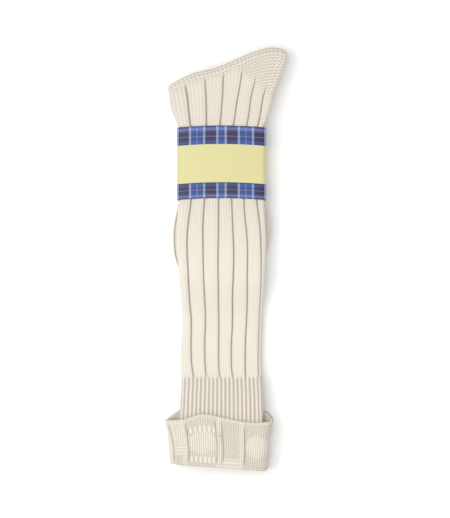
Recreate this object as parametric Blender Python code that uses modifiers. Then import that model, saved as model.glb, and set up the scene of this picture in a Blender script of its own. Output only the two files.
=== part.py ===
"""A pair of knitted kilt hose, folded flat and held in a card band.

Seen from above, the turned-down cuffs are at the low end of Y and the heels at the high end.
Each hose is a hollow ribbed tube that lies flat. Its foot is folded back under its leg at the
ankle, and its patterned top is a cuff of its own, turned down outside the mouth.
"""

import math
from collections import namedtuple

import bmesh
import bpy
from mathutils import Vector

# Sizes of the hose, in metres
LEG_LENGTH = 0.426  # from the mouth to the ankle fold, on the middle line
FOOT_LENGTH = 0.217  # from the ankle fold to the tip of the toe
LEG_WIDTH = 0.0924  # the leg laid flat, at mid height
KNIT_WALL = 0.0020
AIR_INSIDE = 0.0045  # left between the two walls of the flat tube
MOUTH_OPENING = 0.0050  # the same, where the mouth stands open
MOUTH_TILT = -4.3  # degrees that the mouth's right end drops
ANKLE_TILT = 17.2  # degrees that the fold climbs towards the heel
LAYER_GAP = 0.0006

# Sizes of the knitted ribs
WELT_LENGTH = 0.094  # fine ribbing, from the mouth up
WIDE_RIBS = 12
WIDE_GROOVE = 0.0010
FINE_RIBS = 42
FINE_GROOVE = 0.0008

# Sizes of the cuff
CUFF_HEIGHT = 0.054
CUFF_WALL = 0.0024
CUFF_SEAM = 0.0020  # straight run between the seam and the turn
CUFF_FLARE = 0.0052  # how far the free edge spreads past the turn, each side
CUFF_GAP = 0.0010  # between the leg and the cuff turned down over it
CUFF_STAND = 0.0008  # how much further the free edge stands off
CUFF_RELIEF = 0.0008  # how far the plain bands and the panels' middles stand out
SEAM_GAP = 0.0004  # between the mouth of the hose and the cuff sewn to it

# Sizes of the card band
BAND_HEIGHT = 0.0795
BAND_TO_ANKLE = 0.0557  # from the band's upper edge to the ankle fold
CARD = 0.0005
CARD_CLEARANCE = 0.0004
BAND_SLACK = 0.0012  # at each side of the hose
BAND_SQUEEZE = 0.10  # share of its thickness that the band takes from each tube
SQUEEZE_REACH = 0.014  # stretch over which the tubes swell again past the band

# How the pile lies
DROP_LENGTH = 0.050  # stretch over which the legs come down past the toes
RISE_LENGTH = 0.045  # stretch over which they climb to the level of the cuffs
RISE_START = 0.018  # from the cuff's free edge to where they start to climb down
UNDER_TURN = 0.25  # degrees that the under hose lies askew
STITCH_TURN = 0.65  # ribs by which the first groove stands in from the left edge

FOLD_STEPS = 4  # facets round the ankle fold
TURN_STEPS = 4  # facets round the cuff's turn
INSIDE_STEPS = (6, 4)  # facets on each flat wall of the tube's inside, and round each side
CUFF_SIDE_STEPS = 6

KNIT_COLOUR = (0.80, 0.74, 0.64, 1.0)
CUFF_COLOUR = (0.83, 0.78, 0.70, 1.0)
CARD_COLOUR = (0.80, 0.76, 0.38, 1.0)

TUBE = 2 * KNIT_WALL + AIR_INSIDE
MOUTH_TUBE = 2 * KNIT_WALL + MOUTH_OPENING
BAND_TOP = LEG_LENGTH - BAND_TO_ANKLE
BAND_BOTTOM = BAND_TOP - BAND_HEIGHT
TOE_TIP = LEG_LENGTH - FOOT_LENGTH

# A row for each section. along is a share of the stretch that the table's name gives, left and
# right are the tube's reach from the middle line in shares of LEG_WIDTH, tilt is in degrees,
# full is a share of the tube's thickness, and ribbed is the share of the width, from the left,
# that is knitted in wide ribs. bow is the weight of the ankle's own outline.
Row = namedtuple("Row", "along left right tilt full ribbed bow", defaults=(1.0, 1.0, 0.0))

WELT_ROWS = (
    Row(0.00, 0.584, 0.500, MOUTH_TILT),
    Row(0.38, 0.516, 0.492, -2.5),
    Row(0.76, 0.492, 0.482, 0.0),
    Row(1.00, 0.484, 0.468, 0.0),
)
LOWER_LEG_ROWS = (
    Row(0.05, 0.492, 0.464, 0.0),
    Row(0.28, 0.492, 0.464, 0.0),
    Row(0.52, 0.472, 0.476, 0.0),
    Row(0.77, 0.486, 0.490, 0.0),
    Row(1.00, 0.508, 0.506, 0.0),
)
PILED_LEG_ROWS = (
    Row(0.32, 0.530, 0.520, 0.0),
    Row(0.64, 0.534, 0.518, 0.0),
    Row(0.84, 0.522, 0.508, 0.0),
    Row(1.00, 0.512, 0.502, 0.0),
)
ANKLE_ROWS = (
    Row(0.00, 0.512, 0.504, 1.0),
    Row(0.22, 0.556, 0.562, 4.0),
    Row(0.46, 0.606, 0.624, 8.0, 1.0, 0.95),
    Row(0.74, 0.636, 0.722, 13.0, 1.0, 0.75, 0.4),
)
FOLD_ROW = Row(1.00, 0.656, 0.804, ANKLE_TILT, 1.0, 0.55, 1.0)
INSTEP_ROWS = (
    Row(0.30, 0.606, 0.700, 13.0, 1.0, 0.50, 0.4),
    Row(0.62, 0.560, 0.570, 6.0, 1.0, 0.50),
    Row(1.00, 0.512, 0.502, 1.0, 1.0, 0.50),
)
TOE_ROWS = (
    Row(0.00, 0.512, 0.502, 1.0, 1.0, 0.50),
    Row(0.25, 0.562, 0.560, 2.0, 1.0, 0.50),
    Row(0.60, 0.580, 0.562, 2.0, 1.0, 0.50),
    Row(0.78, 0.556, 0.520, 3.0, 1.0, 0.20),
    Row(0.92, 0.480, 0.410, 3.0, 0.85, 0.0),
    Row(1.00, 0.300, 0.240, 3.0, 0.55, 0.0),
)

# The ankle's outline past a straight fold, in shares of LEG_WIDTH, across from left to right
ANKLE_BOW = ((-1.0, -0.02), (-0.6, 0.026), (-0.15, 0.012), (0.2, 0.034), (0.5, 0.054), (0.8, 0.036), (1.0, -0.03))

# The cuff's plain knitted bands, across from left to right, where -1 and 1 are its sides
CUFF_BANDS = (-0.68, 0.03, 0.45)
BAND_FLAT = 0.03  # half the width of a band's flat top, on the same scale
BAND_FOOT = 0.06

# Height of the cuff's free edge in shares of CUFF_HEIGHT, across from left to right, on the
# wall that faces up and on the wall underneath
EDGE_ABOVE = ((-1.0, 0.82), (-0.7, 0.86), (-0.3, 1.0), (0.0, 0.98), (0.3, 0.93), (0.7, 0.91), (1.0, 0.95))
EDGE_BELOW = ((-1.0, 0.82), (-0.8, 1.0), (0.0, 1.08), (0.75, 1.08), (1.0, 0.97))


def read(table, position):
    """A table's value at a position, with straight lines between its rows."""
    if position <= table[0][0]:
        return table[0][1]
    for (low, first), (high, second) in zip(table, table[1:]):
        if position <= high:
            return first + (second - first) * (position - low) / (high - low)
    return table[-1][1]


def ease(share):
    """0 to 1 with a soft start and a soft end."""
    share = min(max(share, 0.0), 1.0)
    return share * share * (3 - 2 * share)


def tightness(y):
    """1 under the card band, and 0 where the tubes lie loose."""
    outside = max(BAND_BOTTOM - y, y - BAND_TOP, 0.0)
    return 1 - ease(outside / SQUEEZE_REACH)


def pile_tube(y):
    return TUBE * (1 - BAND_SQUEEZE * tightness(y))


def pile_level(layer, y):
    """Height of the middle of a tube in the pile. Layer 0 is the under hose's foot."""
    footing = (CARD + CARD_CLEARANCE) * tightness(y)
    return footing + layer * (pile_tube(y) + LAYER_GAP) + pile_tube(y) / 2


def floor_level(hose):
    """Height of the middle of a leg past the toes. Hose 0 is the under one, and hose 1 lies on it."""
    return hose * (TUBE + LAYER_GAP) + TUBE / 2


def cuff_level(hose):
    half = MOUTH_TUBE / 2 + CUFF_GAP + CUFF_STAND + CUFF_WALL + CUFF_RELIEF
    return half + hose * (2 * half + LAYER_GAP)


def rise(y):
    """1 inside the cuffs, and 0 where the legs lie low."""
    return 1 - ease((y - CUFF_HEIGHT - RISE_START) / RISE_LENGTH)


def leg_level(hose, y):
    drop = ease((TOE_TIP - LAYER_GAP - y) / DROP_LENGTH)
    lying = pile_level(2 * hose + 1, y) * (1 - drop) + floor_level(hose) * drop
    return lying + rise(y) * (cuff_level(hose) - floor_level(hose))


def leg_tube(y):
    return pile_tube(y) + rise(y) * (MOUTH_TUBE - TUBE)


def flat_tube(share, left, right, tube):
    """A point of a flattened tube's outline and its outward direction, both as (across, up).

    share runs once round: over the top from left to right and back underneath.
    """
    radius = tube / 2
    straight = left + right - tube
    quarter = math.pi * radius / 2
    middle_left, middle_right = radius - left, right - radius
    run = (share % 1.0) * (2 * straight + 4 * quarter)
    if run < quarter:
        centre, angle = middle_left, math.pi - run / radius
    elif run < quarter + straight:
        return (middle_left + run - quarter, radius), (0.0, 1.0)
    elif run < 3 * quarter + straight:
        centre, angle = middle_right, math.pi / 2 - (run - quarter - straight) / radius
    elif run < 3 * quarter + 2 * straight:
        return (middle_right - (run - 3 * quarter - straight), -radius), (0.0, -1.0)
    else:
        centre, angle = middle_left, -math.pi / 2 - (run - 3 * quarter - 2 * straight) / radius
    direction = (math.cos(angle), math.sin(angle))
    return (centre + radius * direction[0], radius * direction[1]), direction


# A section in space. axis is the point that the fold turns about, or the tube's own middle
# where there is no fold, and fold is how far the tube has turned round it, in degrees.
Section = namedtuple("Section", "axis tilt fold radius left right tube ribbed bow")


def place(section, across, up):
    """The point in space of a section's (across, up)."""
    tilt = math.radians(section.tilt)
    fold = math.radians(section.fold)
    along = Vector((-math.sin(tilt), math.cos(tilt), 0.0))
    outward = along * math.sin(fold) + Vector((0.0, 0.0, math.cos(fold)))
    half = (section.left + section.right) / 2
    relative = (across - (section.right - half)) / half
    bow = read(ANKLE_BOW, relative) * LEG_WIDTH * section.bow
    return (
        section.axis
        + Vector((math.cos(tilt), math.sin(tilt), 0.0)) * across
        + outward * (section.radius + up)
        + along * bow
    )


def wide_ribs():
    """(share, groove) round a wide-ribbed ring, where groove is 1 at the bottom of a groove.

    The points lie closer together where the tube turns at its sides.
    """
    points = []
    for rib in range(WIDE_RIBS):
        at_side = rib % (WIDE_RIBS // 2) == WIDE_RIBS // 2 - 1
        for into in (0.0, 0.12, 0.3, 0.5, 0.7, 0.88) if at_side else (0.0, 0.12, 0.5, 0.88):
            points.append(((rib + into + STITCH_TURN) / WIDE_RIBS % 1.0, 0.0 if into else 1.0))
    return sorted(points)


def fine_ribs():
    return [(half / (2 * FINE_RIBS), half % 2) for half in range(2 * FINE_RIBS)]


def plain_shares(left, right, tube, straight_steps, side_steps):
    """Where the points of a plain ring lie: some on each flat wall, and some round each side."""
    quarter = math.pi * tube / 4
    straight = left + right - tube
    stretches = (
        (quarter, side_steps // 2),
        (straight, straight_steps),
        (2 * quarter, side_steps),
        (straight, straight_steps),
        (quarter, side_steps // 2),
    )
    shares = []
    start = 0.0
    for length, steps in stretches:
        shares += [(start + length * step / steps) / (2 * straight + 4 * quarter) for step in range(steps)]
        start += length
    return shares


def outer_ring(section, fine):
    """(share, point) pairs round the ribbed outside of the hose."""
    ring = []
    for share, groove in fine_ribs() if fine else wide_ribs():
        (across, up), (out_x, out_z) = flat_tube(share, section.left, section.right, section.tube)
        if fine:
            depth = FINE_GROOVE * groove
        else:
            from_left = (across + section.left) / (section.left + section.right)
            depth = WIDE_GROOVE * groove * ease((section.ribbed - from_left) / 0.08 + 0.5)
        ring.append((share, place(section, across - out_x * depth, up - out_z * depth)))
    return ring


def inner_ring(section, like_ribs):
    """(share, point) pairs round the plain inside. At the mouth its points match the fine ribs'."""
    left, right, tube = section.left - KNIT_WALL, section.right - KNIT_WALL, section.tube - 2 * KNIT_WALL
    shares = [share for share, _ in fine_ribs()] if like_ribs else plain_shares(left, right, tube, *INSIDE_STEPS)
    ring = []
    for share in shares:
        (across, up), _ = flat_tube(share, left, right, tube)
        ring.append((share, place(section, across, up)))
    return ring


def rows_to_sections(rows, start, stretch, level, tube, fold=0.0):
    """The sections of one table, whose rows lie along a stretch of Y."""
    found = []
    for row in rows:
        y = start + row.along * stretch
        found.append(
            Section(
                Vector((0.0, y, level(y))),
                row.tilt,
                fold,
                0.0,
                row.left * LEG_WIDTH,
                row.right * LEG_WIDTH,
                tube(y) * row.full,
                row.ribbed,
                row.bow,
            )
        )
    return found


def fold_sections(hose):
    """The sections round the ankle fold, from the leg above to the foot underneath."""
    above = pile_level(2 * hose + 1, LEG_LENGTH)
    below = pile_level(2 * hose, LEG_LENGTH)
    axis = Vector((0.0, LEG_LENGTH, (above + below) / 2))
    return [
        Section(
            axis,
            FOLD_ROW.tilt,
            180.0 * step / FOLD_STEPS,
            (above - below) / 2,
            FOLD_ROW.left * LEG_WIDTH,
            FOLD_ROW.right * LEG_WIDTH,
            pile_tube(LEG_LENGTH),
            FOLD_ROW.ribbed,
            FOLD_ROW.bow,
        )
        for step in range(FOLD_STEPS + 1)
    ]


def hose_sections(hose):
    """All sections of one hose, from its mouth to its toe, and how many of them are fine ribbing."""

    def leg(y):
        return leg_level(hose, y)

    def foot(y):
        return pile_level(2 * hose, y)

    welt = rows_to_sections(WELT_ROWS, 0.0, WELT_LENGTH, leg, leg_tube)
    lower_leg = rows_to_sections(LOWER_LEG_ROWS, WELT_LENGTH, TOE_TIP - WELT_LENGTH, leg, leg_tube)
    piled_leg = rows_to_sections(PILED_LEG_ROWS, TOE_TIP, BAND_BOTTOM - TOE_TIP, leg, leg_tube)
    ankle = rows_to_sections(ANKLE_ROWS, BAND_TOP, BAND_TO_ANKLE, leg, leg_tube)
    instep = rows_to_sections(INSTEP_ROWS, LEG_LENGTH, -BAND_TO_ANKLE, foot, pile_tube, 180.0)
    toe = rows_to_sections(TOE_ROWS, BAND_BOTTOM, TOE_TIP - BAND_BOTTOM, foot, pile_tube, 180.0)
    return welt + lower_leg + piled_leg + ankle + fold_sections(hose) + instep + toe, len(welt)


def skin(bm, first, second):
    """Faces between two closed rings of (share, vertex), which may have unlike counts."""
    if len(first) == len(second):
        for i in range(len(first)):
            j = (i + 1) % len(first)
            bm.faces.new((first[i][1], first[j][1], second[j][1], second[i][1]))
        return
    i = j = 0
    while i < len(first) or j < len(second):
        next_first = first[i + 1][0] if i + 1 < len(first) else 1.0
        next_second = second[j + 1][0] if j + 1 < len(second) else 1.0
        a, b = first[i % len(first)][1], second[j % len(second)][1]
        if j == len(second) or (i < len(first) and next_first <= next_second):
            bm.faces.new((a, first[(i + 1) % len(first)][1], b))
            i += 1
        else:
            bm.faces.new((a, second[(j + 1) % len(second)][1], b))
            j += 1


def ring_vertices(bm, ring):
    return [(share, bm.verts.new(point)) for share, point in ring]


def material(name, colour, roughness):
    made = bpy.data.materials.new(name)
    made.use_nodes = True
    shader = made.node_tree.nodes["Principled BSDF"]
    shader.inputs["Base Color"].default_value = colour
    shader.inputs["Roughness"].default_value = roughness
    shader.inputs["Metallic"].default_value = 0.0
    return made


def add_object(bm, name, finish, parent):
    """Turns a bmesh into a named, smooth-shaded object of the collection."""
    bmesh.ops.recalc_face_normals(bm, faces=bm.faces)
    mesh = bpy.data.meshes.new(name)
    bm.to_mesh(mesh)
    bm.free()
    mesh.shade_smooth()
    mesh.materials.append(finish)
    made = bpy.data.objects.new(name, mesh)
    made.parent = parent
    bpy.data.collections["kilt_hose_pair"].objects.link(made)
    return made


def build_hose(name, hose, finish, parent):
    """The knitted tube of one hose: welt, leg, heel, foot and toe in one piece."""
    sections, fine_count = hose_sections(hose)
    bm = bmesh.new()
    outside = [ring_vertices(bm, outer_ring(s, i < fine_count)) for i, s in enumerate(sections)]
    inside = [ring_vertices(bm, inner_ring(s, i == 0)) for i, s in enumerate(sections[:-1])]
    for first, second in zip(outside, outside[1:]):
        skin(bm, first, second)
    for first, second in zip(inside, inside[1:]):
        skin(bm, first, second)
    skin(bm, outside[0], inside[0])
    bm.faces.new([vertex for _, vertex in outside[-1]])
    bm.faces.new([vertex for _, vertex in inside[-1]])
    return add_object(bm, name, finish, parent)


def cuff_path():
    """(y, out, climb) from the seam round the turn to the free edge, at the middle of the wall.

    out is the distance from the middle of the hose's wall, and climb the share of the cuff's height.
    """
    turn = (KNIT_WALL / 2 + CUFF_GAP + CUFF_WALL / 2) / 2
    foot = -SEAM_GAP - CUFF_SEAM
    path = [(-SEAM_GAP, 0.0, 0.0)]
    for step in range(TURN_STEPS + 1):
        angle = math.pi * step / TURN_STEPS
        path.append((foot - turn * math.sin(angle), turn * (1 - math.cos(angle)), 0.0))
    for climb in (0.25, 0.5, 0.75, 1.0):
        path.append((foot, 2 * turn, climb))
    return path


def cuff_columns(left, right, tube):
    """(share, relief, swell) round a cuff: relief is 1 on its plain bands, and swell in a panel's middle."""
    wall = []
    panel_ends = (-1 + BAND_FOOT, *CUFF_BANDS, 1 - BAND_FOOT)
    for band in CUFF_BANDS:
        wall += [(band + offset, 1.0, 0.0) for offset in (-BAND_FLAT, BAND_FLAT)]
        wall += [(band + offset, 0.0, 0.0) for offset in (-BAND_FOOT, BAND_FOOT)]
    wall += [((first + second) / 2, 0.0, 1.0) for first, second in zip(panel_ends, panel_ends[1:])]
    wall.sort()
    straight = left + right - tube
    quarter = math.pi * tube / 4
    around = 2 * straight + 4 * quarter
    sides = [quarter * 2 * step / CUFF_SIDE_STEPS for step in range(CUFF_SIDE_STEPS + 1)]
    columns = [(run / around, 0.0, 0.0) for run in sides[: CUFF_SIDE_STEPS // 2 + 1]]
    for relative, relief, swell in wall:
        run = quarter + (relative + 1) * (left + right) / 2 - tube / 2
        columns.append((run / around, relief, swell))
    columns += [((quarter + straight + run) / around, 0.0, 0.0) for run in sides]
    for relative, relief, swell in reversed(wall):
        run = 3 * quarter + straight + (1 - relative) * (left + right) / 2 - tube / 2
        columns.append((run / around, relief, swell))
    columns += [((3 * quarter + 2 * straight + run) / around, 0.0, 0.0) for run in sides[: CUFF_SIDE_STEPS // 2]]
    return columns


def build_cuff(name, hose, finish, parent):
    """The patterned top: sewn on at the mouth, turned outwards and laid back over the leg."""
    mouth = WELT_ROWS[0]
    bm = bmesh.new()
    rings = []
    for y, out, climb in cuff_path():
        spread = out + CUFF_FLARE * climb - KNIT_WALL / 2
        left = mouth.left * LEG_WIDTH + spread
        right = mouth.right * LEG_WIDTH + spread
        tube = MOUTH_TUBE - KNIT_WALL + 2 * (out + CUFF_STAND * climb)
        section = Section(Vector((0.0, y, cuff_level(hose))), mouth.tilt, 0.0, 0.0, left, right, tube, 0.0, 0.0)
        ring = []
        for share, relief, swell in cuff_columns(left, right, tube):
            (across, up), (_, out_z) = flat_tube(share, left, right, tube)
            edge = read(EDGE_ABOVE if up > 0 else EDGE_BELOW, 2 * (across + left) / (left + right) - 1)
            stand_out = CUFF_RELIEF * (relief * min(climb * 4, 1.0) + swell * 4 * climb * (1 - climb))
            point = place(section, across, up + out_z * stand_out)
            ring.append((share, point + Vector((0.0, climb * edge * CUFF_HEIGHT, 0.0))))
        rings.append(ring_vertices(bm, ring))
    for first, second in zip(rings, rings[1:]):
        skin(bm, first, second)
    cuff = add_object(bm, name, finish, parent)
    wall = cuff.modifiers.new("wall", "SOLIDIFY")
    wall.thickness = CUFF_WALL
    wall.offset = 0.0
    wall.use_even_offset = True
    return cuff


def build_band(finish, parent):
    """A card strip closed round the middle of the pile, with corners that follow the tubes."""
    waist = PILED_LEG_ROWS[-1]
    left = waist.left * LEG_WIDTH + BAND_SLACK
    right = waist.right * LEG_WIDTH + BAND_SLACK
    middle = (BAND_TOP + BAND_BOTTOM) / 2
    top = pile_level(3, middle) + pile_tube(middle) / 2 + CARD_CLEARANCE
    corner = pile_tube(middle) / 2 + CARD_CLEARANCE
    centres = (
        (right - corner, top - corner, 0),
        (corner - left, top - corner, 90),
        (corner - left, CARD + corner, 180),
        (right - corner, CARD + corner, 270),
    )
    bm = bmesh.new()
    profile = []
    for x, z, first_angle in centres:
        for step in range(5):
            angle = math.radians(first_angle + 90 * step / 4)
            profile.append((x + corner * math.cos(angle), z + corner * math.sin(angle)))
    rings = [
        [(i / len(profile), bm.verts.new((x, y, z))) for i, (x, z) in enumerate(profile)]
        for y in (BAND_BOTTOM, BAND_TOP)
    ]
    skin(bm, rings[0], rings[1])
    band = add_object(bm, "card_band", finish, parent)
    card = band.modifiers.new("card", "SOLIDIFY")
    card.thickness = CARD
    card.offset = 1.0
    card.use_even_offset = True
    return band


def empty(name, parent=None):
    made = bpy.data.objects.new(name, None)
    made.parent = parent
    bpy.data.collections["kilt_hose_pair"].objects.link(made)
    return made


def centre_on_floor(root, parts):
    """Moves the whole pair so that its box stands on the origin, centred in X and Y."""
    bpy.context.view_layer.update()
    graph = bpy.context.evaluated_depsgraph_get()
    corners = []
    for part in parts:
        evaluated = part.evaluated_get(graph)
        shape = evaluated.to_mesh()
        corners += [evaluated.matrix_world @ vertex.co for vertex in shape.vertices]
        evaluated.to_mesh_clear()
    low = Vector([min(corner[axis] for corner in corners) for axis in range(3)])
    high = Vector([max(corner[axis] for corner in corners) for axis in range(3)])
    root.location = (-(low.x + high.x) / 2, -(low.y + high.y) / 2, -low.z)


def main():
    for old in list(bpy.data.objects):
        bpy.data.objects.remove(old)
    bpy.context.scene.collection.children.link(bpy.data.collections.new("kilt_hose_pair"))
    knit = material("hose_knit", KNIT_COLOUR, 0.95)
    patterned = material("cuff_knit", CUFF_COLOUR, 0.95)
    card = material("band_card", CARD_COLOUR, 0.45)

    root = empty("pair")
    askew = empty("under_hose_turn", root)
    pivot = Vector((0.0, (BAND_TOP + BAND_BOTTOM) / 2, 0.0))
    askew.rotation_euler.z = math.radians(UNDER_TURN)
    askew.location = pivot - askew.rotation_euler.to_matrix() @ pivot

    parts = [
        build_hose("under_hose", 0, knit, askew),
        build_cuff("under_cuff", 0, patterned, askew),
        build_hose("upper_hose", 1, knit, root),
        build_cuff("upper_cuff", 1, patterned, root),
        build_band(card, root),
    ]
    centre_on_floor(root, parts)


main()
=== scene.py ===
# Kilt hose: a folded pair in a card band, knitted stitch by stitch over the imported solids
import math

import bpy
import numpy as np
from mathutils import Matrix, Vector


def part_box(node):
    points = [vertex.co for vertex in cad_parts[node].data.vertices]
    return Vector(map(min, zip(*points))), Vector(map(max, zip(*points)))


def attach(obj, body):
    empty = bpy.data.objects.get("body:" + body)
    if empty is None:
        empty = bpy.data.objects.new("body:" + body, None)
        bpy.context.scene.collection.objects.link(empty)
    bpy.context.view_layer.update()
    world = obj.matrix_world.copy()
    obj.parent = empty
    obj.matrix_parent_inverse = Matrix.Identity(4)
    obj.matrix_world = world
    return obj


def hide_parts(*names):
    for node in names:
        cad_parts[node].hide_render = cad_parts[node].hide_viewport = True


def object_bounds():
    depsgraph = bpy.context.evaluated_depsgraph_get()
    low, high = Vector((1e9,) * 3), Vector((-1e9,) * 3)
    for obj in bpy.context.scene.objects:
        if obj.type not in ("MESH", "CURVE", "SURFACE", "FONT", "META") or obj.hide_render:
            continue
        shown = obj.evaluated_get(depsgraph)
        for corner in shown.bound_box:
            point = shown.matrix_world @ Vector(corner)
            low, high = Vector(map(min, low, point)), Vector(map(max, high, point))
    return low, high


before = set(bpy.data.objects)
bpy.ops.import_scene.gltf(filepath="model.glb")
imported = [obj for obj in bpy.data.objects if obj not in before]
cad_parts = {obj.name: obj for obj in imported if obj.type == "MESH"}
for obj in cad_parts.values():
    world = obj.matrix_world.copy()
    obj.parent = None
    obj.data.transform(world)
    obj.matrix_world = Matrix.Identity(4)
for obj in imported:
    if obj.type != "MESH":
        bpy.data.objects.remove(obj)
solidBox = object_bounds()
print("frame loaded:", len(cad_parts), "nodes")

hose = {
    "legLength": 0.426,  # mouth to ankle fold, metres
    "footLength": 0.217,
    "legWidth": 0.0924,
    "wall": 0.0020,
    "airInside": 0.0045,
    "mouthAir": 0.0050,
    "backing": 0.0005,  # how much deeper the inside lies away from the mouth
    "mouthTilt": -4.3,  # degrees
    "ankleTilt": 17.2,
    "layerGap": 0.0006,
    "weltLength": 0.094,
    "dropLength": 0.050,
    "riseLength": 0.045,
    "riseStart": 0.018,
    "underTurn": 0.25,  # degrees
    "wideRibs": 12,
    "stitchesPerRib": 5,
    "fineRibs": 42,
    "grooveDepth": 0.0013,
    "grooveWidth": 0.0008,
    "grooveSlope": 0.0026,  # half width of the soft shoulder beside a groove
    "fineDepth": 0.0013,
    "waleHeight": 0.00022,
    "rowPitch": 0.0022,  # one knitted row
    "rimRound": 0.0003,  # how far the rim of the mouth stands out
    "shoulderDepth": 0.0003,
    "unevenness": 0.00025,
    "legDarkening": 0.16,  # how much darker the colour is made past the lower leg
    # how much darker the colour is made where the heel and sole have no ribs
    "soleDarkening": 0.18,
    "toeWall": 0.004,  # between the tip of the toe and the end of the air inside
    "leastAir": 0.0006,
    "innerRows": 50,
}
band = {
    "height": 0.0795,
    "toAnkle": 0.0557,
    "card": 0.0005,
    "clearance": 0.0004,
    "squeeze": 0.10,
    "reach": 0.014,
    "bow": 0.0003,  # how far the middle of the card stands up
    "edgeArc": 0.0022,  # how far its edges fall back towards the sides
}
cuff = {
    "height": 0.054,
    "wall": 0.0024,
    "seam": 0.0020,
    "seamGap": 0.0004,
    "flare": 0.0052,
    "gap": 0.0010,
    "stand": 0.0008,
    "relief": 0.0008,
    "stitchesAround": 96,
    "rows": 27,
    "bands": (-0.673, 0.02, 0.47),  # plain bands, -1 and 1 at the sides
    "bandHalf": 0.048,
    "creases": (-0.92, -0.61, -0.04, 0.085, 0.525),
    "creaseDepth": 0.0010,
    "diamond": (0.46, 2.6, 0.42),  # how far up its middle lies, and how fast it narrows up and across
    "shortRibs": ((0.03, 0.16), (0.67, 0.78)),  # from the seam at 0 to the free edge at 1
    "mossHeight": 0.0010,
    "waleHeight": 0.0007,
    "swell": 0.0009,
    "holeDepth": 0.0013,
    "ladderDepth": 0.0004,
    "unevenness": 0.0004,
}

bandTop = hose["legLength"] - band["toAnkle"]
bandBottom = bandTop - band["height"]
bandMiddle = (bandTop + bandBottom) / 2
toeTip = hose["legLength"] - hose["footLength"]
tube = 2 * hose["wall"] + hose["airInside"]
mouthTube = 2 * hose["wall"] + hose["mouthAir"]

# along, left, right, tilt, full, ribbed, bow: the same rows as in the solids
weltRows = (
    (0.00, 0.584, 0.500, hose["mouthTilt"], 1.0, 1.0, 0.0),
    (0.38, 0.516, 0.492, -2.5, 1.0, 1.0, 0.0),
    (0.76, 0.492, 0.482, 0.0, 1.0, 1.0, 0.0),
    (1.00, 0.484, 0.468, 0.0, 1.0, 1.0, 0.0),
)
lowerLegRows = (
    (0.05, 0.492, 0.464, 0.0, 1.0, 1.0, 0.0),
    (0.28, 0.492, 0.464, 0.0, 1.0, 1.0, 0.0),
    (0.52, 0.472, 0.476, 0.0, 1.0, 1.0, 0.0),
    (0.77, 0.486, 0.490, 0.0, 1.0, 1.0, 0.0),
    (1.00, 0.508, 0.506, 0.0, 1.0, 1.0, 0.0),
)
piledLegRows = (
    (0.32, 0.530, 0.520, 0.0, 1.0, 1.0, 0.0),
    (0.64, 0.534, 0.518, 0.0, 1.0, 1.0, 0.0),
    (0.84, 0.522, 0.508, 0.0, 1.0, 1.0, 0.0),
    (1.00, 0.512, 0.502, 0.0, 1.0, 1.0, 0.0),
)
ankleRows = (
    (0.00, 0.512, 0.504, 1.0, 1.0, 1.0, 0.0),
    (0.22, 0.556, 0.562, 4.0, 1.0, 1.0, 0.0),
    (0.46, 0.606, 0.624, 8.0, 1.0, 0.95, 0.0),
    (0.74, 0.636, 0.722, 13.0, 1.0, 0.75, 0.4),
    (1.00, 0.656, 0.804, hose["ankleTilt"], 1.0, 0.55, 1.0),
)
instepRows = (
    (0.00, 0.656, 0.804, hose["ankleTilt"], 1.0, 0.55, 1.0),
    (0.30, 0.606, 0.700, 13.0, 1.0, 0.50, 0.4),
    (0.62, 0.560, 0.570, 6.0, 1.0, 0.50, 0.0),
    (1.00, 0.512, 0.502, 1.0, 1.0, 0.50, 0.0),
)
toeRows = (
    (0.03, 0.512, 0.502, 1.0, 1.0, 0.50, 0.0),
    (0.25, 0.562, 0.560, 2.0, 1.0, 0.50, 0.0),
    (0.60, 0.580, 0.562, 2.0, 1.0, 0.50, 0.0),
    (0.78, 0.556, 0.520, 3.0, 1.0, 0.20, 0.0),
    (0.92, 0.480, 0.410, 3.0, 0.85, 0.0, 0.0),
    (0.99, 0.320, 0.260, 3.0, 0.55, 0.0, 0.0),
    (1.02, 0.120, 0.080, 3.0, 0.30, 0.0, 0.0),
)
# how far the outline stands out past the ankle fold, from -1 at its left end to 1 at its right
ankleBow = (
    (-1.0, -0.02),
    (-0.6, 0.026),
    (-0.15, 0.012),
    (0.2, 0.034),
    (0.5, 0.054),
    (0.8, 0.036),
    (1.0, -0.03),
)

# Where the six grooves on the upper face run: metres from the mouth, and how far across the
# first groove, the middle between the third and fourth, and the sixth lie
grooveLines = (
    (0.090, 0.160, 0.563, 0.972),
    (0.117, 0.140, 0.556, 0.972),
    (0.150, 0.118, 0.548, 0.974),
    (0.179, 0.107, 0.544, 0.975),
    (0.245, 0.113, 0.552, 0.943),
    (0.289, 0.143, 0.544, 0.910),
    (0.371, 0.145, 0.565, 0.930),
    (0.399, 0.168, 0.570, 0.896),
    (0.416, 0.150, 0.556, 0.915),
    (0.440, 0.120, 0.550, 0.960),
)


def softStep(share):
    share = np.clip(share, 0.0, 1.0)
    return share * share * (3 - 2 * share)


def curveThrough(table, column, x):
    # a smooth curve through one column of a table
    xs = np.array([row[0] for row in table])
    ys = np.array([row[column] for row in table])
    slope = np.gradient(ys, xs)
    i = np.clip(np.searchsorted(xs, x) - 1, 0, len(xs) - 2)
    step = xs[i + 1] - xs[i]
    t = np.clip((x - xs[i]) / step, 0.0, 1.0)
    start = (1 + 2 * t) * (1 - t) ** 2 * ys[i] + t * (1 - t) ** 2 * step * slope[i]
    return start + t * t * (3 - 2 * t) * ys[i + 1] + t * t * (t - 1) * step * slope[i + 1]


def ripple(x, y, seed):
    # a slow unevenness between about -1 and 1, in metres of x and y
    wave = np.sin(x * 61 + seed) * np.cos(y * 47 + 2.1 * seed) + np.sin(x * 23 - y * 31 + 1.3 * seed)
    return 0.5 * wave + 0.25 * np.sin(x * 140 + y * 90 + seed)


# How the pile lies, from the mouth at 0 to the ankle fold
def tightness(y):
    return 1 - softStep(np.maximum(np.maximum(bandBottom - y, y - bandTop), 0.0) / band["reach"])


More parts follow.
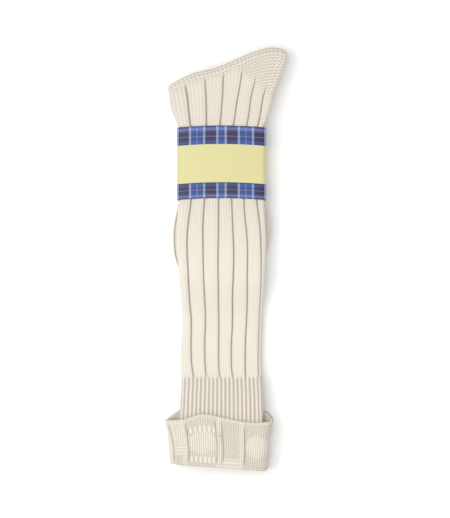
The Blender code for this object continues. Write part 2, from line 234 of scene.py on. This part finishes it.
def pileTube(y):
    return tube * (1 - band["squeeze"] * tightness(y))


def pileLevel(layer, y):
    footing = (band["card"] + band["clearance"]) * tightness(y)
    return footing + layer * (pileTube(y) + hose["layerGap"]) + pileTube(y) / 2


def floorLevel(which):
    return which * (tube + hose["layerGap"]) + tube / 2


def cuffLevel(which):
    half = mouthTube / 2 + cuff["gap"] + cuff["stand"] + cuff["wall"] + cuff["relief"]
    return half + which * (2 * half + hose["layerGap"])


def rise(y):
    return 1 - softStep((y - cuff["height"] - hose["riseStart"]) / hose["riseLength"])


def legLevel(which, y):
    drop = softStep((toeTip - hose["layerGap"] - y) / hose["dropLength"])
    lying = pileLevel(2 * which + 1, y) * (1 - drop) + floorLevel(which) * drop
    return lying + rise(y) * (cuffLevel(which) - floorLevel(which))


def legTube(y):
    return pileTube(y) + rise(y) * (mouthTube - tube)


def onFlatTube(u, left, right, thick):
    # across, up and the outward direction of a flattened tube, once round for u from 0 to 1
    radius = thick / 2
    straight = left + right - thick
    quarter = math.pi * radius / 2
    around = 2 * straight + 4 * quarter
    run = np.mod(u, 1.0) * around
    marks = (
        run < quarter,
        run < quarter + straight,
        run < 3 * quarter + straight,
        run < 3 * quarter + 2 * straight,
    )
    angle = np.select(
        marks,
        (
            math.pi - run / radius,
            math.pi / 2 + 0 * run,
            math.pi / 2 - (run - quarter - straight) / radius,
            -math.pi / 2 + 0 * run,
        ),
        -math.pi / 2 - (run - 3 * quarter - 2 * straight) / radius,
    )
    centre = np.select(
        marks,
        (
            radius - left + 0 * run,
            radius - left + run - quarter,
            right - radius + 0 * run,
            right - radius - (run - 3 * quarter - straight),
        ),
        radius - left + 0 * run,
    )
    return centre + radius * np.cos(angle), radius * np.sin(angle), np.cos(angle), np.sin(angle), around


# Everything is made with the mouth's middle at the origin and then laid where the solids are
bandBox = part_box("card_band")
waistLeft, waistRight = piledLegRows[-1][1] * hose["legWidth"], piledLegRows[-1][2] * hose["legWidth"]
shift = np.array(
    (
        (bandBox[0][0] + bandBox[1][0]) / 2 - (waistRight - waistLeft) / 2,
        bandBox[1][1] - bandTop,
        bandBox[0][2],
    )
)


def layInPlace(points, which):
    # the under hose, number 0, lies a little askew
    turn = math.radians(hose["underTurn"]) if which == 0 else 0.0
    x, y = points[..., 0], points[..., 1] - bandMiddle
    across = x * math.cos(turn) - y * math.sin(turn)
    along = x * math.sin(turn) + y * math.cos(turn) + bandMiddle
    turned = np.stack((across, along, points[..., 2]), axis=-1)
    return turned + shift


weldReach = 0.00002  # metres between the vertices that a seam joins


def clothFromGrid(name, points, stitches, paintedShadeAndDarkening):
    # wraps a flat grid round the points, one vertex each, and closes its seams
    rows, columns = paintedShadeAndDarkening.shape
    bpy.ops.object.select_all(action="DESELECT")
    bpy.ops.mesh.primitive_grid_add(x_subdivisions=columns - 1, y_subdivisions=rows - 1, size=1)
    piece = bpy.context.object
    piece.name = name
    mesh = piece.data
    mesh.vertices.foreach_set("co", points.reshape(-1))
    uvMap = mesh.uv_layers[0]
    uvMap.name = "stitches"
    corner = np.empty(len(mesh.loops), dtype=np.int32)
    mesh.loops.foreach_get("vertex_index", corner)
    uvMap.uv.foreach_set("vector", stitches.reshape(-1, 2)[corner].reshape(-1))
    # this attribute holds painted shade for grooves, holes, creases and inner walls, together with the
    # darkening past the lower leg
    depth = mesh.attributes.new("paintedShadeAndDarkening", "FLOAT", "POINT")
    depth.data.foreach_set("value", paintedShadeAndDarkening.reshape(-1))
    mesh.update()
    bpy.ops.object.mode_set(mode="EDIT")
    bpy.ops.mesh.select_all(action="SELECT")
    bpy.ops.mesh.remove_doubles(threshold=weldReach)
    bpy.ops.mesh.normals_make_consistent(inside=False)
    bpy.ops.object.mode_set(mode="OBJECT")
    bpy.ops.object.shade_smooth()
    print(name, "faces:", len(mesh.polygons))
    return piece


# --- the path of a hose: up the leg, round the ankle fold and back down the foot
def hosePath(which, s):
    above, below = pileLevel(2 * which + 1, hose["legLength"]), pileLevel(2 * which, hose["legLength"])
    turnRadius = (above - below) / 2
    turnLength = math.pi * turnRadius
    foldStart, foldEnd = hose["legLength"], hose["legLength"] + turnLength
    table = []
    for rows, start, stretch in (
        (weltRows, 0.0, hose["weltLength"]),
        (lowerLegRows, hose["weltLength"], toeTip - hose["weltLength"]),
        (piledLegRows, toeTip, bandBottom - toeTip),
        (ankleRows, bandTop, band["toAnkle"]),
        (instepRows, foldEnd, band["toAnkle"]),
        (toeRows, foldEnd + band["toAnkle"] + band["height"], bandBottom - toeTip),
    ):
        table += [(start + row[0] * stretch, *row[1:]) for row in rows]
    left, right, tilt, full, ribbed, bow = (curveThrough(table, column, s) for column in range(1, 7))
    fold = np.clip((s - foldStart) / turnLength, 0.0, 1.0) * math.pi
    y = np.where(s <= foldStart, s, np.where(s < foldEnd, foldStart, foldStart - (s - foldEnd)))
    onFold = (s > foldStart) & (s < foldEnd)
    level = np.where(s <= foldStart, legLevel(which, y), pileLevel(2 * which, y))
    level = np.where(onFold, (above + below) / 2, level)
    thick = np.where(s <= foldStart, legTube(y), pileTube(y)) * full
    return {
        "y": y,
        "level": level,
        "radius": np.where(onFold, turnRadius, 0.0),
        "fold": fold,
        "tilt": np.radians(tilt),
        "left": left * hose["legWidth"],
        "right": right * hose["legWidth"],
        "thick": thick,
        "ribbed": ribbed,
        "bow": bow,
        "end": foldEnd + band["toAnkle"] + band["height"] + 1.02 * (bandBottom - toeTip),
        "foldEnd": foldEnd,
    }


def ribCount(u, path, around, s):
    # counts wide ribs round each row, a whole number at every groove
    first, middle, last = (curveThrough(grooveLines, column, s) for column in (1, 2, 3))
    counts = np.arange(6)
    waver = 0.004 * np.sin(s[:, None] * 31 + counts * 2.3) + 0.002 * np.sin(s[:, None] * 95 + counts * 4.1)
    share = (
        first[:, None] * (counts - 2.5) * (counts - 5) / 12.5
        - middle[:, None] * counts * (counts - 5) / 6.25
        + last[:, None] * counts * (counts - 2.5) / 12.5
        + waver
    )
    width = (path["left"] + path["right"])[:, None]
    radius = path["thick"][:, None] / 2
    grooves = (math.pi * radius / 2 + share * width - radius) / around[:, None]
    found = np.empty((len(s), len(u)))
    for i in range(len(s)):
        behind = np.linspace(grooves[i, 5], grooves[i, 0] + 1, 8)
        lines = np.concatenate((behind[:-1] - 1, grooves[i, :5], behind, [grooves[i, 1] + 1]))
        found[i] = np.interp(u, lines, np.arange(-7, -7 + len(lines)))
    return found


def knitHose(name, which, columns, rowSteps):
    u = np.linspace(0.0, 1.0, columns + 1)
    probe = hosePath(which, np.array([0.0]))
    weltEnd = hose["weltLength"]
    # rowSteps gives the rows between these places; the short step is where the stitches change
    marks = (0.0, 0.040, weltEnd, weltEnd + 0.0001, probe["foldEnd"] + 0.004, probe["end"])
    stretches = zip(marks, marks[1:], rowSteps)
    outer = [np.linspace(low, high, steps, endpoint=False) for low, high, steps in stretches]
    outer = np.concatenate(outer + [[probe["end"]]])
    innerEnd = probe["end"] - hose["toeWall"]
    inner = np.linspace(innerEnd, 0.0, hose["innerRows"])
    s = np.concatenate(([innerEnd], inner, [0.0], outer, [probe["end"]]))
    inside = np.zeros(len(s))
    inside[: len(inner) + 1] = 1.0  # the air side of the wall
    inside[len(inner) + 1] = 0.5  # the middle of the rim
    path = hosePath(which, s)
    inset = inside * (hose["wall"] + hose["backing"] * softStep((s - 0.01) / 0.02))
    column = {key: np.asarray(value)[:, None] for key, value in path.items() if np.ndim(value)}
    left, right = column["left"] - inset[:, None], column["right"] - inset[:, None]
    thick = np.maximum(column["thick"] - 2 * inset[:, None], hose["leastAir"])
    across, up, outX, outZ, around = onFlatTube(u[None, :], left, right, thick)
    around = around[:, 0]

    # relief of the ribs, the columns of stitches and the fine welt
    ribs = ribCount(u, path, around, s)
    ribWidth = (around / hose["wideRibs"])[:, None]
    toGroove = np.abs(ribs - np.round(ribs)) * ribWidth
    fromLeft = (across + left) / (left + right)
    ribbed = softStep((column["ribbed"] - fromLeft) / 0.10 + 0.5)
    foldMiddle = (hose["legLength"] + path["foldEnd"]) / 2
    pastFold = np.abs(s - foldMiddle) - (path["foldEnd"] - hose["legLength"]) / 2
    ribbed = ribbed * softStep((pastFold + 0.001) / 0.007)[:, None]
    wales = ribs * hose["stitchesPerRib"] + 0.5
    groove = np.exp(-((toGroove / hose["grooveWidth"]) ** 2))
    shoulder = np.exp(-((toGroove / hose["grooveSlope"]) ** 2))
    wideDepth = ribbed * (groove * hose["grooveDepth"] + shoulder * hose["shoulderDepth"])
    waleRidge = hose["waleHeight"] * np.cos(math.pi * wales) ** 2
    fine = u[None, :] * hose["fineRibs"] + 0 * across
    fineValley = np.sin(math.pi * fine) ** 2
    fineDepth = hose["fineDepth"] * fineValley**1.5
    onWelt = (1 - softStep((s - hose["weltLength"]) / 0.004 + 0.5))[:, None]
    weltStitches = (s <= hose["weltLength"])[:, None] + 0 * across
    depth = fineDepth * onWelt + (wideDepth - waleRidge) * (1 - onWelt)
    uneven = ripple(across, s[:, None] + 0 * across, 1.7 + which) * hose["unevenness"]
    depth = np.where(inside[:, None] > 0, 0.0, depth - uneven)
    # painted shade in the welt's fine valleys and in the wide grooves and their shoulders
    paintedShadeAndDarkening = fineValley**4 * onWelt + ribbed * (groove + 0.1 * shoulder) * (1 - onWelt)
    # the colour is made darker past the lower leg and where the heel and sole have no ribs
    towardsFootDarkening = hose["legDarkening"] * softStep((s - 0.20) / 0.10)[:, None]
    towardsFootDarkening = towardsFootDarkening + hose["soleDarkening"] * (1 - ribbed) * (s > 0.25)[:, None]
    # the inner wall of the tube gets an even painted shade
    paintedShadeAndDarkening = np.where(inside[:, None] > 0, 0.55, np.clip(paintedShadeAndDarkening + towardsFootDarkening, 0, 1))

    across, up = across - outX * depth, up - outZ * depth
    half = (left + right) / 2
    bowAt = curveThrough(ankleBow, 1, (across - (right - half)) / half) * hose["legWidth"] * column["bow"]
    sinTilt, cosTilt = np.sin(column["tilt"]), np.cos(column["tilt"])
    reach = np.sin(column["fold"]) * (column["radius"] + up) + bowAt
    points = np.stack(
        (
            cosTilt * across - sinTilt * reach,
            column["y"] + sinTilt * across + cosTilt * reach,
            column["level"] + np.cos(column["fold"]) * (column["radius"] + up),
        ),
        axis=-1,
    )
    points[inside == 0.5, :, 1] -= hose["rimRound"]
    for pole in (0, -1):
        points[pole] = points[pole].mean(axis=0)
    stitches = np.stack(
        (np.where(weltStitches, fine * 2, wales), s[:, None] / hose["rowPitch"] + 0 * across), axis=-1
    )
    return clothFromGrid(name, layInPlace(points, which), stitches, paintedShadeAndDarkening)


# --- the turned-down cuffs
edgeAbove = ((-1.0, 0.82), (-0.7, 0.86), (-0.3, 1.0), (0.0, 0.98), (0.3, 0.93), (0.7, 0.91), (1.0, 0.95))
edgeBelow = ((-1.0, 0.82), (-0.8, 1.0), (0.0, 1.08), (0.75, 1.10), (0.93, 1.10), (1.0, 1.02))


def between(value, low, high, soft):
    return softStep((value - low) / soft + 0.5) * softStep((high - value) / soft + 0.5)


def stitchChart(place, climb, count, row):
    # how high each stitch of the cuff stands, and how much painted shade lies in the hollow beside it
    acrossStitch, alongStitch = np.cos(math.pi * count) ** 2, np.cos(math.pi * row) ** 2
    checker = np.where(np.mod(np.round(count) + np.round(row), 2) == 0, 1.0, -0.7)
    corner = (1 - acrossStitch) * (1 - alongStitch)
    first, afterFirst, beforeSecond, afterSecond, afterThird = cuff["creases"]
    leftPanel = between(place, first, afterFirst, 0.02)
    bigPanel = between(place, afterFirst, beforeSecond, 0.02)
    narrowPanel = between(place, afterSecond, cuff["bands"][2] - cuff["bandHalf"], 0.02)
    rightPanel = between(place, afterThird, 1.0, 0.02)
    middle = np.where(place < beforeSecond, (afterFirst + beforeSecond) / 2, (afterThird + 1.0) / 2)
    reach = np.where(place < beforeSecond, beforeSecond - afterFirst, 1.0 - afterThird) / 2
    diamondMiddle, narrowUp, narrowAcross = cuff["diamond"]
    diamond = np.abs(climb - diamondMiddle) * narrowUp + np.abs((place - middle) / reach) * narrowAcross
    moss = (bigPanel + rightPanel) * softStep((diamond - 0.70) / 0.14 + 0.5)
    moss = moss + leftPanel * between(climb, -0.1, 0.18, 0.03) + narrowPanel * softStep((climb - 0.14) / 0.03)
    shortRibs = bigPanel * sum(between(climb, low, high, 0.02) for low, high in cuff["shortRibs"])
    garter = leftPanel * between(climb, 0.22, 0.43, 0.03) + narrowPanel * between(climb, 0.0, 0.14, 0.03)
    onBand = np.zeros_like(place)
    for centre in cuff["bands"]:
        onBand = np.maximum(onBand, 1 - softStep((np.abs(place - centre) - cuff["bandHalf"]) / 0.02 + 0.5))
    moss = np.clip(moss, 0, 1) * (1 - onBand) * (1 - softStep((climb - 0.95) / 0.02))
    moss = moss * (1 - np.clip(shortRibs + garter, 0, 1))
    plain = 1 - np.clip(moss + shortRibs + garter, 0, 1)
    ribShape = np.cos(math.pi * count / 2) ** 2
    ridgeRow = np.cos(math.pi * row / 2) ** 2
    height = moss * checker * acrossStitch * alongStitch * cuff["mossHeight"]
    height = height + plain * (acrossStitch * alongStitch * 0.8 + acrossStitch * 0.2) * cuff["waleHeight"]
    height = height + (shortRibs * ribShape**0.5 * 0.5 + garter * ridgeRow * 0.4) * cuff["mossHeight"]
    # painted shade in the holes between stitches, on the sunk stitches of the moss, between plain stitches,
    # short ribs and garter ridges
    paintedShadeAndDarkening = moss * (corner * 0.95 + np.where(checker < 0, 0.7, 0.0) * acrossStitch * alongStitch)
    paintedShadeAndDarkening = paintedShadeAndDarkening + plain * (corner * 0.50 + (1 - acrossStitch) * 0.08)
    paintedShadeAndDarkening = paintedShadeAndDarkening + shortRibs * (1 - ribShape) ** 4 * 0.8 + garter * (1 - ridgeRow) ** 3 * 0.5
    height = height + onBand * cuff["relief"]
    for centre in cuff["creases"]:
        wander = 0.02 * np.sin(climb * 5)
        crease = np.exp(-(((place - centre - wander) / 0.014) ** 2)) * softStep(climb / 0.12)
        crease = crease * (1 - softStep((climb - 0.86) / 0.10))
        height = height - crease * cuff["creaseDepth"]
        # painted shade along each crease
        paintedShadeAndDarkening = np.maximum(paintedShadeAndDarkening, crease * 0.85)
    return height, paintedShadeAndDarkening


def knitCuff(name, which, perStitch, perRow):
    stitchCount, rowCount = cuff["stitchesAround"], cuff["rows"]
    u = np.linspace(0.0, 1.0, stitchCount * perStitch + 1)
    turn = (hose["wall"] / 2 + cuff["gap"] + cuff["wall"] / 2) / 2
    foot = -cuff["seamGap"] - cuff["seam"]
    angle = np.linspace(0.0, math.pi, 4 * perRow)
    climbs = np.linspace(0.0, 1.0, rowCount * perRow)[1:]
    # y, out, climb and the direction of the wall's outer side, from the seam to the free edge
    course = [(-cuff["seamGap"], 0.0, 0.0, 0.0, -1.0)]
    for a in angle:
        sine, cosine = math.sin(a), math.cos(a)
        course.append((foot - turn * sine, turn * (1 - cosine), 0.0, -sine, -cosine))
    course += [(foot, 2 * turn, climb, 0.0, 1.0) for climb in climbs]
    back = [course[i] for i in range(len(course) - 1, -1, -max(1, len(course) // 24))] + [course[0]]
    rows = [(*row, 1.0) for row in course] + [(*course[-1], 0.0)] + [(*row, -1.0) for row in back]
    rows += [(*course[0], 0.0), (*course[0], 1.0)]
    y, out, climb, sideY, sideOut, side = (np.array([row[i] for row in rows])[:, None] for i in range(6))
    rim = (side == 0) * np.where(climb > 0.5, 1.0, 0.35) * cuff["wall"] * 0.4
    out = out + sideOut * side * cuff["wall"] / 2
    y = y + sideY * side * cuff["wall"] / 2
    flare = cuff["flare"] * (0.35 * climb + 0.65 * climb**3)
    spread = out + flare - hose["wall"] / 2
    left = weltRows[0][1] * hose["legWidth"] + spread
    right = weltRows[0][2] * hose["legWidth"] + spread
    thick = mouthTube - hose["wall"] + 2 * (out + cuff["stand"] * climb)
    across, up, outX, outZ, around = onFlatTube(u[None, :], left, right, thick)
    place = (2 * (across + left) / (left + right)) - 1
    count = u[None, :] * stitchCount + 0 * place
    outer = (side > 0) & (sideOut > -0.5)
    row = np.where(climb > 0, climb * rowCount, -np.arccos(np.clip(-sideOut, -1, 1)) / math.pi * 3)
    height, paintedShadeAndDarkening = stitchChart(place, climb + 0 * place, count, row + 0 * place)
    swell = cuff["swell"] * (4 * climb * (1 - climb)) * np.sin(math.pi * (place * 2.2 + 0.7)) ** 2
    swell = swell * (outZ > 0.5)
    hole = np.exp(-(((place - 0.040) / 0.024) ** 2) - ((climb - 0.62) / 0.026) ** 2) * (up > 0) * (which == 1)
    ladder = 0.7 * np.exp(-(((place - 0.070) / 0.022) ** 2) - ((climb - 0.52) / 0.05) ** 2) * (up > 0)
    height = np.where(outer, height + swell - cuff["holeDepth"] * hole - cuff["ladderDepth"] * ladder, 0.0)
    uneven = ripple(across, climb * 0.06 + 0 * across, 4.0 + which) * cuff["unevenness"]
    height = height + np.where(side > 0, uneven, 0.0)
    # painted shade in the hole and the ladder, and an even painted shade on the inner side of the cuff
    paintedShadeAndDarkening = np.where(outer, np.maximum(np.maximum(paintedShadeAndDarkening, hole), ladder * 0.6), 0.45)
    across, up = across + outX * height, up + outZ * height
    edge = np.where(up > 0, curveThrough(edgeAbove, 1, place), curveThrough(edgeBelow, 1, place))
    tilt = math.radians(hose["mouthTilt"])
    points = np.stack(
        (
            math.cos(tilt) * across,
            y + math.sin(tilt) * across + climb * edge * cuff["height"] + np.where(climb > 0.5, rim, -rim),
            cuffLevel(which) + up,
        ),
        axis=-1,
    )
    stitches = np.stack((count, row + 0 * place), axis=-1)
    return clothFromGrid(name, layInPlace(points, which), stitches, paintedShadeAndDarkening)


hoses = {
    "upperHose": knitHose("upperHose", 1, 300, (8, 34, 1, 176, 52)),
    "underHose": knitHose("underHose", 0, 300, (8, 20, 1, 110, 50)),
}
cuffs = {
    "upperCuff": knitCuff("upperCuff", 1, 5, 5),
    "underCuff": knitCuff("underCuff", 0, 4, 4),
}


# --- the card band
def pick(parts, kind, wanted):
    # goes into edit mode with only the wanted faces or edges chosen
    bpy.ops.object.mode_set(mode="EDIT")
    bpy.ops.mesh.select_mode(type=kind)
    bpy.ops.mesh.select_all(action="DESELECT")
    bpy.ops.object.mode_set(mode="OBJECT")
    for part in parts:
        part.select = wanted(part)
    bpy.ops.object.mode_set(mode="EDIT")


def foldBand():
    low, high = bandBox
    size = [high[i] - low[i] for i in range(3)]
    bpy.ops.object.select_all(action="DESELECT")
    bpy.ops.mesh.primitive_cube_add(size=1, location=[(low[i] + high[i]) / 2 for i in range(3)])
    piece = bpy.context.object
    piece.name = "cardBand"
    piece.scale = size
    bpy.ops.object.transform_apply(location=True, rotation=False, scale=True)
    mesh = piece.data
    pick(mesh.polygons, "FACE", lambda face: abs(face.normal.y) > 0.5)
    bpy.ops.mesh.delete(type="ONLY_FACE")
    bpy.ops.object.mode_set(mode="OBJECT")
    ends = [vertex.co.y for vertex in mesh.vertices]
    pick(mesh.edges, "EDGE", lambda edge: abs(ends[edge.vertices[0]] - ends[edge.vertices[1]]) > 0.01)
    bpy.ops.mesh.bevel(offset=pileTube(bandMiddle) / 2 + band["clearance"] + band["card"], segments=10)
    bpy.ops.mesh.select_all(action="SELECT")
    bpy.ops.mesh.subdivide(number_cuts=12)
    bpy.ops.object.mode_set(mode="OBJECT")
    middle = [(low[i] + high[i]) / 2 for i in range(3)]
    for vertex in mesh.vertices:
        x, y = (vertex.co.x - middle[0]) / (size[0] / 2), (vertex.co.y - middle[1]) / (size[1] / 2)
        if vertex.co.z > middle[2]:
            vertex.co.z += band["bow"] * max(0.0, 1 - x * x) * (0.6 + 0.4 * math.cos(3.1 * y))
        vertex.co.y -= band["edgeArc"] * x * x
    wall = piece.modifiers.new("card", "SOLIDIFY")
    wall.thickness = band["card"]
    wall.offset = -1.0
    bpy.ops.object.modifier_apply(modifier="card")
    bpy.ops.object.shade_smooth_by_angle(angle=math.radians(40))
    return piece


cardBand = foldBand()
print("card band folded")


# --- shader maths
class Wire:
    def __init__(self, shader, socket):
        self.shader, self.socket = shader, socket

    def __add__(self, other):
        return self.shader.maths("ADD", self, other)

    def __radd__(self, other):
        return self.shader.maths("ADD", other, self)

    def __sub__(self, other):
        return self.shader.maths("SUBTRACT", self, other)

    def __rsub__(self, other):
        return self.shader.maths("SUBTRACT", other, self)

    def __mul__(self, other):
        return self.shader.maths("MULTIPLY", self, other)

    def __rmul__(self, other):
        return self.shader.maths("MULTIPLY", other, self)

    def __truediv__(self, other):
        return self.shader.maths("DIVIDE", self, other)

    def __pow__(self, other):
        return self.shader.maths("POWER", self, other)

    def __gt__(self, other):
        return self.shader.maths("GREATER_THAN", self, other)

    def __lt__(self, other):
        return self.shader.maths("LESS_THAN", self, other)

    def __abs__(self):
        return self.shader.maths("ABSOLUTE", self)


class Shader:
    def __init__(self, name, **finish):
        self.material = bpy.data.materials.new(name)
        self.material.use_nodes = True
        self.tree = self.material.node_tree
        self.surface = self.tree.nodes["Principled BSDF"]
        for socket, value in finish.items():
            self.surface.inputs[socket.replace("_", " ")].default_value = value

    def node(self, kind, settings, sockets, output=0):
        made = self.tree.nodes.new(kind)
        for name, value in settings.items():
            setattr(made, name, value)
        for socket, value in sockets.items():
            self.plug(made.inputs[socket], value)
        return Wire(self, made.outputs[output])

    def maths(self, operation, *values):
        return self.node("ShaderNodeMath", {"operation": operation}, dict(enumerate(values)))

    def mix(self, factor, first, second):
        return self.node("ShaderNodeMix", {"data_type": "RGBA"}, {0: factor, 6: first, 7: second}, 2)

    def split(self, vector):
        return [self.node("ShaderNodeSeparateXYZ", {}, {0: vector}, axis) for axis in range(3)]

    def noise(self, vector, scale, detail=2.0):
        return self.node("ShaderNodeTexNoise", {}, {"Vector": vector, "Scale": scale, "Detail": detail})

    def plug(self, socket, value):
        if isinstance(value, Wire):
            self.tree.links.new(value.socket, socket)
        else:
            socket.default_value = value

    def finish(self, socket, value):
        self.plug(self.surface.inputs[socket], value)


knitFinish = {
    "cream": (0.82, 0.775, 0.69, 1.0),
    "shade": (0.26, 0.20, 0.14, 1.0),
    "warm": (0.85, 0.75, 0.645, 1.0),
    "cool": (0.77, 0.77, 0.68, 1.0),
}


def knitMaterial(name, bumpDepth, stitchShade, gapShade):
    cloth = Shader(name, Roughness=0.95, Sheen_Weight=0.15, Sheen_Roughness=0.5, Specular_IOR_Level=0.2)
    u, v, _ = cloth.split(cloth.node("ShaderNodeUVMap", {"uv_map": "stitches"}, {}))
    placeOnIt = cloth.node("ShaderNodeTexCoord", {}, {}, "Object")
    paintedShadeAndDarkening = cloth.node("ShaderNodeAttribute", {"attribute_name": "paintedShadeAndDarkening"}, {}, "Fac")
    beside = abs(cloth.maths("FRACT", u + 0.5) - 0.5) * 2  # 0 along the middle of a column of stitches
    strand = cloth.maths("SINE", cloth.maths("FRACT", v + beside * 0.5) * math.pi)
    stitch = strand**0.7 * (1 - 0.5 * beside**4)
    gap = (1 - strand) ** 2 * beside**2  # painted shade in the small hole between four stitches
    yarn = cloth.noise(placeOnIt, 1400.0, 3.0)
    patches = cloth.noise(placeOnIt, 42.0, 3.0)
    tint = cloth.mix(patches, knitFinish["warm"], knitFinish["cool"])
    cream = cloth.mix(0.35, knitFinish["cream"], tint)
    # painted shade from the attribute, between the strands of each stitch and in the holes between stitches,
    # pulls the colour towards the shade colour; the yarn noise adds random tone
    dark = paintedShadeAndDarkening * (0.62 + (1 - strand) * 0.2) + (1 - stitch) * stitchShade
    dark = dark + gap * gapShade + (yarn - 0.5) * 0.16
    dark = cloth.maths("MINIMUM", cloth.maths("MAXIMUM", dark, 0.0), 1.0)
    cloth.finish("Base Color", cloth.mix(dark, cream, knitFinish["shade"]))
    height = stitch * 0.7 + yarn * 0.3
    bump = cloth.node("ShaderNodeBump", {}, {"Strength": 0.8, "Distance": bumpDepth, "Height": height})
    cloth.finish("Normal", bump)
    return cloth.material


bandFinish = {
    "straw": (0.545, 0.50, 0.225, 1.0),
    "pale": (0.585, 0.56, 0.325, 1.0),
    "blue": (0.020, 0.070, 0.26, 1.0),
    "paleBlue": (0.30, 0.38, 0.56, 1.0),
    "plum": (0.018, 0.012, 0.050, 1.0),
    "lilac": (0.22, 0.20, 0.42, 1.0),
    "line": (0.012, 0.008, 0.025, 1.0),
    "checkWidth": 0.0300,
    "lowerBorder": 0.205,  # shares of the band's height
    "upperBorder": 0.745,
    "lineWidth": 0.014,
}


def cardMaterial():
    card = Shader("checkCard", Coat_Weight=0.04, Coat_Roughness=0.3, Specular_IOR_Level=0.35)
    placeOnIt = card.node("ShaderNodeTexCoord", {}, {}, "Object")
    x, y, z = card.split(placeOnIt)
    low, high = bandBox
    around = abs(x - (low[0] + high[0]) / 2) + (high[2] - z)
    side = (x - (low[0] + high[0]) / 2) / ((high[0] - low[0]) / 2)
    up = (y + side * side * band["edgeArc"] - low[1]) / (high[1] - low[1])

    def stripe(value, start, end):
        return (value > start) * (value < end)

    column = card.maths("FRACT", around / bandFinish["checkWidth"] + 0.31)
    lower = stripe(up, -0.1, bandFinish["lowerBorder"])
    upper = stripe(up, bandFinish["upperBorder"], 1.1)
    rowIn = lower * (up / bandFinish["lowerBorder"])
    rowIn = rowIn + upper * ((1 - up) / (1 - bandFinish["upperBorder"]))
    plumColumn = stripe(column, 0.50, 0.90)
    paleColumn = stripe(column, 0.42, 0.50) + stripe(column, 0.90, 0.98) + stripe(column, 0.19, 0.21)
    plumRow = stripe(rowIn, 0.34, 0.80)
    paleRow = stripe(rowIn, 0.10, 0.24) + stripe(rowIn, 0.55, 0.59)
    twill = card.maths("FRACT", (around + y) / 0.0009) > 0.5
    columnGround = card.mix(plumColumn, bandFinish["blue"], bandFinish["plum"])
    rowGround = card.mix(plumRow, bandFinish["blue"], bandFinish["plum"])
    warp = card.mix(paleColumn, columnGround, bandFinish["paleBlue"])
    weft = card.mix(paleRow, rowGround, bandFinish["lilac"])
    check = card.mix(twill * 0.3 + 0.3, warp, weft)
    line = stripe(up, bandFinish["lowerBorder"], bandFinish["lowerBorder"] + bandFinish["lineWidth"])
    edge = stripe(rowIn, 0.0, 0.035) + line
    check = card.mix(edge * 0.8, check, bandFinish["line"])
    fibre = card.noise(placeOnIt, 260.0, 4.0)
    pale = card.mix(fibre * 0.5, bandFinish["straw"], bandFinish["pale"])
    printed = card.maths("MINIMUM", lower + upper + line, 1.0)
    card.finish("Base Color", card.mix(printed, pale, check))
    card.finish("Roughness", 0.40 + fibre * 0.12)
    bump = card.node("ShaderNodeBump", {}, {"Strength": 0.2, "Distance": 0.0001, "Height": fibre})
    card.finish("Normal", bump)
    return card.material


def dress(piece, material, node):
    piece.data.materials.clear()
    piece.data.materials.append(material)
    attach(piece, "root")
    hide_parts(node)


legKnit = knitMaterial("creamHoseKnit", 0.0010, 0.26, 0.55)
cuffKnit = knitMaterial("creamCuffKnit", 0.0008, 0.26, 0.50)
dress(hoses["upperHose"], legKnit, "upper_hose")
dress(hoses["underHose"], legKnit, "under_hose")
dress(cuffs["upperCuff"], cuffKnit, "upper_cuff")
dress(cuffs["underCuff"], cuffKnit, "under_cuff")
dress(cardBand, cardMaterial(), "card_band")
print("materials on")

# --- floor, light and camera
studio = {
    "metresPerPixel": 0.0011,
    "imageSize": (450, 518),
    "bandTopPixel": 126,
    "bandMiddlePixel": 221.5,
    "cameraHeight": 3.2,
    "floorLevel": -0.0003,
    "floorTones": ((0.93, 0.93, 0.925, 1.0), (0.95, 0.95, 0.95, 1.0)),
    "keyPlace": (-0.50, 0.0, 1.25),
    "keySize": 1.0,
    "keyPower": 13.0,
    "fillPlace": (1.2, -0.3, 1.4),
    "fillSize": 1.4,
    "fillPower": 3.0,
    "skyStrength": 0.75,
}


def layFloor():
    bpy.ops.object.select_all(action="DESELECT")
    bpy.ops.mesh.primitive_plane_add(size=14, location=(0, 0, studio["floorLevel"]))
    floor = bpy.context.object
    floor.name = "floor"
    paint = Shader("whiteFloor", Roughness=0.9, Specular_IOR_Level=0.1)
    speck = paint.noise(paint.node("ShaderNodeTexCoord", {}, {}, "Object"), 3.0)
    paint.finish("Base Color", paint.mix(speck, *studio["floorTones"]))
    floor.data.materials.append(paint.material)


def hangLight(name, place, size, power):
    bpy.ops.object.light_add(type="AREA", location=place)
    light = bpy.context.object
    light.name = name
    light.data.size = size
    light.data.energy = power
    light.visible_camera = False
    aim = -light.location
    light.rotation_euler = aim.to_track_quat("-Z", "Y").to_euler()


def setCamera():
    wide, tall = studio["imageSize"]
    scale = studio["metresPerPixel"]
    x = (bandBox[0][0] + bandBox[1][0]) / 2 + (wide / 2 - studio["bandMiddlePixel"]) * scale
    y = bandBox[1][1] - (tall / 2 - studio["bandTopPixel"]) * scale
    bpy.ops.object.camera_add(location=(x, y, studio["cameraHeight"]), rotation=(0, 0, 0))
    camera = bpy.context.object
    camera.data.sensor_width = 36.0
    middle = solidBox[1][2] * 0.6
    camera.data.lens = 36.0 * (studio["cameraHeight"] - middle) / (tall * scale)
    camera.data.clip_end = 40.0
    bpy.context.scene.camera = camera


layFloor()
hangLight("keyLight", studio["keyPlace"], studio["keySize"], studio["keyPower"])
hangLight("fillLight", studio["fillPlace"], studio["fillSize"], studio["fillPower"])
world = bpy.data.worlds.new("studio")
world.use_nodes = True
world.node_tree.nodes["Background"].inputs["Color"].default_value = (1.0, 1.0, 1.0, 1.0)
world.node_tree.nodes["Background"].inputs["Strength"].default_value = studio["skyStrength"]
bpy.context.scene.world = world
bpy.context.scene.view_settings.view_transform = "Standard"
setCamera()
print("studio set")
